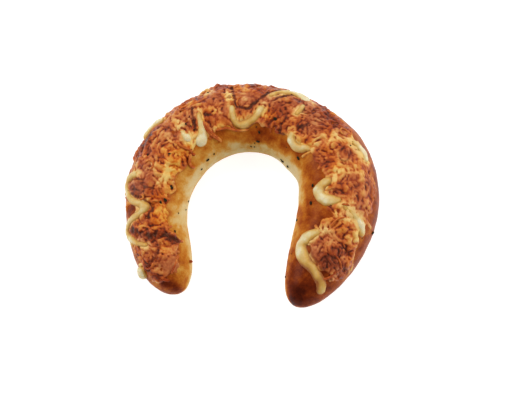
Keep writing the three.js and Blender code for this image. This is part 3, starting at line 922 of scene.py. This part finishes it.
def sheetMesh(sheet):  # a closed layer: the cheese above, a hidden face inside the roll below, and its rim
    rows, columns = sheet["along"].shape
    shown = sheet["height"] > cheese["shownAbove"]
    cell = shown[:-1, :-1] | shown[1:, :-1] | shown[:-1, 1:] | shown[1:, 1:]
    number = np.arange(rows * columns).reshape(rows, columns)
    corners = np.stack([number[:-1, :-1], number[1:, :-1], number[1:, 1:], number[:-1, 1:]], -1)[cell]
    under = rows * columns
    faces = [corners, corners[:, ::-1] + under]
    framed = np.pad(cell, 1)
    neighbours = (framed[1:-1, :-2], framed[2:, 1:-1], framed[1:-1, 2:], framed[:-2, 1:-1])
    for start, neighbour in enumerate(neighbours):
        end = (start + 1) % 4
        rim = corners[~neighbour[cell]]
        faces.append(np.stack([rim[:, end], rim[:, start], rim[:, start] + under, rim[:, end] + under], -1))
    faces = np.concatenate(faces)
    normal = crustNormal(sheet["along"], sheet["angle"])
    top = sheet["skin"] + normal * np.maximum(sheet["height"], -cheese["sunk"])[..., None]
    bottom = sheet["skin"] - normal * (cheese["sunk"] + cheese["rooted"])
    points = np.concatenate([top.reshape(-1, 3), bottom.reshape(-1, 3)]) * mm
    used, faces = np.unique(faces, return_inverse=True)
    mesh = bpy.data.meshes.new("meltedCheese")
    mesh.from_pydata(points[used].tolist(), [], faces.reshape(-1, 4).tolist())
    mesh.validate()
    piece = bpy.data.objects.new("meltedCheese", mesh)
    bpy.context.collection.objects.link(piece)
    layers = [np.concatenate([sheet[name].ravel()] * 2)[used] for name in ("tone", "burnt", "fried")]
    paintVertices(piece, "melt", *layers)
    return piece


def makeCheeseMaterial():
    material, tree, surface, split, tone = startMaterial("meltedCheese", "melt", cheese)
    links = tree.links
    molten = rampColour(tree, tone, cheese["moltenBrowns"])
    crisp = mixColour(tree, split.outputs["Blue"], molten)
    links.new(rampColour(tree, tone, cheese["friedBrowns"]), crisp.inputs["B"])
    char = mixColour(tree, split.outputs["Green"], crisp.outputs["Result"])
    char.inputs["B"].default_value = daylight(*cheese["char"])
    links.new(char.outputs["Result"], surface.inputs["Base Color"])
    return material


cheeseSheet = spreadSheet()
grateCheese(cheeseSheet)
meltCheese(cheeseSheet)
brownCheese(cheeseSheet)
meltedCheese = sheetMesh(cheeseSheet)
finishPiece(meltedCheese, makeCheeseMaterial())


# Loose shreds: grated cheese that kept its shape, baked on at the melted cheese's edge and on top of it.
shred = {
    "count": 14, "length": (5.0, 11.0), "radius": (0.5, 0.8), "curl": 1.2, "knots": 14, "taper": 1.5,
    "lift": 0.35, "tone": 0.42, "patchShare": 0.5, "toneGrain": ((6.0, 0.3, 5.0), (1.6, 0.15, 9.0)),
    "toneMost": 0.65, "fried": 0.4,
    "byHand": (
        (0.85, ((115.5, 77), (115, 63), (117.5, 51), (119.5, 43), (119.8, 37))),
        (0.8, ((114.5, 82), (113.8, 66), (115.5, 53), (118.5, 43.5), (121, 41))),
        (0.75, ((119, 59), (123.5, 57.5), (128.5, 56), (133, 50.5), (138.5, 48), (145, 49))),
        (0.95, ((92.5, 86), (93, 72), (94.5, 61), (95, 53))),
        (1.0, ((93.5, 53), (91, 50), (87.5, 46), (86, 39), (87.5, 31))),
        (0.7, ((17.5, 58), (13, 72), (9, 90))),
        (1.6, ((12.4, 22), (14, 19))),
    ),
}


def sheetHeightAt(sheet, track):
    i = np.clip(np.searchsorted(sheet["alongs"], track[:, 0]), 0, len(sheet["alongs"]) - 1)
    j = np.clip(np.searchsorted(sheet["angles"], track[:, 1]), 0, len(sheet["angles"]) - 1)
    return np.clip(sheet["height"][i, j], 0, None)


def scatterShreds(sheet):
    shreds = []
    knots = shred["knots"]
    tracks = [(radius, threadPlaces(places, knots)) for radius, places in shred["byHand"]]
    for _ in range(shred["count"]):
        track = curlTrack(*dropPlace(sheet), dice.uniform(*shred["length"]), shred["curl"])
        tracks.append((dice.uniform(*shred["radius"]), track))
    for index, (radius, track) in enumerate(tracks):
        share = np.linspace(0, 1, len(track))
        reach = shred["taper"] * radius
        thickness = radius * taperedEnds(share, trackLength(track), reach, reach)
        floor = sheetHeightAt(sheet, track)
        lay = (floor + floor.mean()) / 2 + shred["lift"] * radius
        shreds.append(layBead(f"shred{index}", track, thickness, lay))
    loose = joinPieces(shreds, "looseShreds")
    applyModifier(loose, "SUBSURF", levels=1, render_levels=1)
    return loose


def toastShreds(loose):
    points = vertexPoints(loose)
    along, angle = placesOf(points)
    tone = shred["tone"] + shred["patchShare"] * patchSum(cheese["patches"], along, angle)
    tone = tone + grainSum(points, shred["toneGrain"])
    paintVertices(loose, "melt", np.clip(tone, 0, shred["toneMost"]), 0, shred["fried"])


looseShreds = scatterShreds(cheeseSheet)
toastShreds(looseShreds)
finishPiece(looseShreds, bpy.data.materials["meltedCheese"])


# Herb flecks: one flat flake, copied to each place and turned its own way.
herb = {
    "size": 0.95, "flat": 0.4, "narrow": 0.6, "crumple": 0.12, "lift": 0.15,
    "spread": 26, "spreadAlong": (8, 286), "spreadAngle": (10, 168), "spreadSize": (0.4, 0.8),
    "places": (
        (33, 52, 1.0), (52.5, 74, 1.2), (54, 66, 1.5), (64, 57, 1.5), (60, 5, 0.7), (79.5, 115, 0.9),
        (84.5, 81, 1.0), (91.5, 15, 0.8), (101.5, 20, 1.3), (105, 92, 0.9), (109.5, 22, 0.8),
        (124, 137, 1.1), (149.5, 14, 0.7), (153, 28, 1.3), (153.5, 46, 1.1), (163, 74, 1.7),
        (181.5, 10, 1.3), (189, 10, 1.0), (194.5, 42, 1.4), (222.5, 53, 1.2), (238, 52, 1.4),
        (249, 22, 1.0), (242, 172, 1.5), (285, 20, 0.8),
    ),
    "veinScale": 900.0, "bumpDepth": 0.0003, "sockets": {"Roughness": 0.7, "Specular IOR Level": 0.1},
    "leafTones": ((0.35, (26, 20, 12)), (0.55, (44, 36, 20)), (0.75, (72, 62, 32))),
}


def modelFlake():
    bpy.ops.object.select_all(action="DESELECT")
    bpy.ops.mesh.primitive_ico_sphere_add(subdivisions=2, radius=herb["size"] * mm)
    flake = bpy.context.object
    bpy.ops.object.mode_set(mode="EDIT")
    bpy.ops.mesh.select_all(action="SELECT")
    bpy.ops.transform.resize(value=(1, herb["narrow"], herb["flat"]), center_override=(0, 0, 0))
    bpy.ops.transform.vertex_random(offset=herb["crumple"] * mm, seed=4)
    bpy.ops.object.mode_set(mode="OBJECT")
    return flake


def scatterHerbs(sheet):
    flake = modelFlake()
    flakes = []
    places = list(herb["places"])
    for _ in range(herb["spread"]):
        spans = (herb[name] for name in ("spreadAlong", "spreadAngle", "spreadSize"))
        places.append(tuple(dice.uniform(*span) for span in spans))
    for along, angle, size in places:
        normal = Vector(crustNormal(along, angle))
        forward = normal.orthogonal().normalized()
        turn = Matrix.Rotation(dice.uniform(0, 2 * math.pi), 3, normal)
        forward = turn @ forward
        side = normal.cross(forward)
        lift = herb["lift"] + sheetHeightAt(sheet, np.array([[along, angle]]))[0]
        place = Vector((crustPoint(along, angle) + lift * np.array(normal)) * mm)
        basis = Matrix((forward * size, side * size, normal * size)).transposed().to_4x4()
        copy = flake.copy()
        copy.data = flake.data.copy()
        copy.data.transform(Matrix.Translation(place) @ basis)
        bpy.context.collection.objects.link(copy)
        flakes.append(copy)
    bpy.data.objects.remove(flake)
    return joinPieces(flakes, "herbFlecks")


def makeHerbMaterial():
    material, tree, surface = newMaterial("driedHerb")
    place = tree.nodes.new("ShaderNodeTexCoord")
    vein = addNode(tree, "ShaderNodeTexNoise", Scale=herb["veinScale"], Detail=3.0)
    tree.links.new(place.outputs["Object"], vein.inputs["Vector"])
    leaf = rampColour(tree, vein.outputs["Fac"], herb["leafTones"])
    tree.links.new(leaf, surface.inputs["Base Color"])
    setSockets(surface, herb["sockets"])
    addBump(tree, surface, vein.outputs["Fac"], herb["bumpDepth"])
    return material


herbFlecks = scatterHerbs(cheeseSheet)
finishPiece(herbFlecks, makeHerbMaterial())


# Stage: a pale floor, soft lights on both sides and one above and behind, and a dim white all round.
stage = {
    "floor": 4.0, "floorShade": 0.4, "floorGlow": 0.85, "worldStrength": 0.36,
    "lights": (
        ("sideLeft", (-0.8, 0.1, 0.55), 0.6, 3.6),
        ("sideRight", (0.8, 0.1, 0.55), 0.6, 3.6),
        ("backTop", (0.0, 0.6, 0.9), 0.7, 4.0),
    ),
}


def makeStage():
    white = (1.0, 1.0, 1.0, 1.0)
    bpy.ops.object.select_all(action="DESELECT")
    bpy.ops.mesh.primitive_plane_add(size=stage["floor"], location=(0, 0, 0))
    floor = bpy.context.object
    floor.name = "paleFloor"
    pale, _, surface = newMaterial("paleFloor")
    shade = stage["floorShade"]
    setSockets(surface, {"Base Color": (shade, shade, shade, 1.0), "Roughness": 0.8,
                         "Emission Color": white, "Emission Strength": stage["floorGlow"]})
    floor.data.materials.append(pale)
    world = bpy.data.worlds.new("softWhite")
    world.use_nodes = True
    backdrop = world.node_tree.nodes["Background"]
    setSockets(backdrop, {"Color": white, "Strength": stage["worldStrength"]})
    bpy.context.scene.world = world
    for name, place, size, power in stage["lights"]:
        bpy.ops.object.light_add(type="AREA", location=place)
        light = bpy.context.object
        light.name = name
        light.data.shape = "DISK"
        light.data.size = size
        light.data.energy = power
        light.rotation_euler = (-light.location).to_track_quat("-Z", "Y").to_euler()


view = {
    "aim": (2.9, -4.0, 14.0), "distance": 700.0, "sideTilt": 5.0, "frontTilt": 20.0, "lens": 83.3,
}


def makeCamera():
    sideTilt = math.tan(math.radians(view["sideTilt"]))
    frontTilt = math.tan(math.radians(view["frontTilt"]))
    back = Vector((sideTilt, -frontTilt, 1)).normalized()
    right = Vector((0, 1, 0)).cross(back).normalized()
    up = back.cross(right)
    data = bpy.data.cameras.new("photoCamera")
    data.lens = view["lens"]
    data.sensor_width = 36.0
    camera = bpy.data.objects.new("photoCamera", data)
    bpy.context.scene.collection.objects.link(camera)
    turn = Matrix((right, up, back)).transposed().to_4x4()
    place = (Vector(view["aim"]) + back * view["distance"]) * mm
    camera.matrix_world = Matrix.Translation(place) @ turn
    bpy.context.scene.camera = camera


makeStage()
makeCamera()
bpy.context.scene.view_settings.view_transform = "Standard"
print("stage and camera set")
